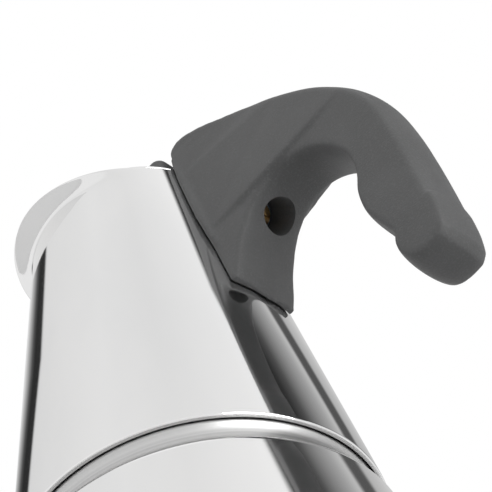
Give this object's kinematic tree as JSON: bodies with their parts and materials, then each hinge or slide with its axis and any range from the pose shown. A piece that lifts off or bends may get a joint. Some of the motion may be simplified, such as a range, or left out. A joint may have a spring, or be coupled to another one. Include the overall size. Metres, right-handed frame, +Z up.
{
  "type": "stovetop moka pot",
  "caption": "Conical stovetop coffee maker with water boiler, coffee funnel, filter, screw-on pouring jug, hinged lid and hooked side handle.",
  "frame": {"origin": "centre of the base plate's underside, on the pot's own axis", "axes": "+Z up along the pot's axis, +X toward the handle, spout toward -X"},
  "size_m": [0.1411, 0.1054, 0.1954],
  "materials": {
    "polished_steel": "polished stainless steel, mirror-like",
    "satin_steel": "satin stainless steel with fine turned lines",
    "brass": "machined brass",
    "silicone": "matte off-white silicone",
    "soft_touch": "dark grey soft-touch plastic with a fine grain"
  },
  "bodies": {
    "boiler": {"boiler_shell": "polished_steel", "base_plate": "satin_steel", "valve_body": "brass", "valve_seal": "silicone", "valve_nut": "brass", "valve_spring": "satin_steel"},
    "valve_pin": {"valve_pin": "brass"},
    "basket": {"funnel_basket": "satin_steel", "basket_sieve": "satin_steel"},
    "filter": {"filter_plate": "satin_steel"},
    "gasket": {"gasket": "silicone"},
    "jug": {"jug_thread_collar": "satin_steel", "jug_shell": "polished_steel", "jug_floor": "satin_steel", "riser_column": "satin_steel", "column_cap": "satin_steel", "handle": "soft_touch", "handle_washer": "satin_steel", "handle_screw": "brass", "handle_nut": "brass", "hinge_pin": "satin_steel"},
    "lid": {"lid": "polished_steel", "lid_hinge_block": "soft_touch", "lid_knob": "soft_touch", "knob_screw": "satin_steel"}
  },
  "joints": [
    {"name": "jug_lift", "type": "slide", "parent": "boiler", "child": "gasket", "axis": [0, 0, 1], "range_m": [0, 0.18]},
    {"name": "thread_rise", "type": "slide", "parent": "gasket", "child": "filter", "axis": [0, 0, 1], "range_m": [0, 0.0061]},
    {"name": "jug_turn", "type": "hinge", "parent": "filter", "child": "jug", "pos_m": [0, 0, 0.07], "axis": [0, 0, 1], "range_deg": [0, 720]},
    {"name": "lid_hinge", "type": "hinge", "parent": "jug", "child": "lid", "pos_m": [0.0295, 0, 0.1803], "axis": [0, 1, 0], "range_deg": [0, 95]},
    {"name": "basket_lift", "type": "slide", "parent": "boiler", "child": "basket", "axis": [0, 0, 1], "range_m": [0, 0.09]},
    {"name": "valve_pin_slide", "type": "slide", "parent": "boiler", "child": "valve_pin", "axis": [-0.4625, 0.8699, 0.1714], "range_m": [0, 0.0015], "stiffness_N_per_m": 900, "springref_m": -0.002}
  ],
  "couplings": [
    {"joint": "thread_rise", "follows": "jug_turn", "m_per_rad": 0.00047746},
    {"joint": "basket_lift", "follows": "jug_lift", "ratio": 0.5}
  ]
}
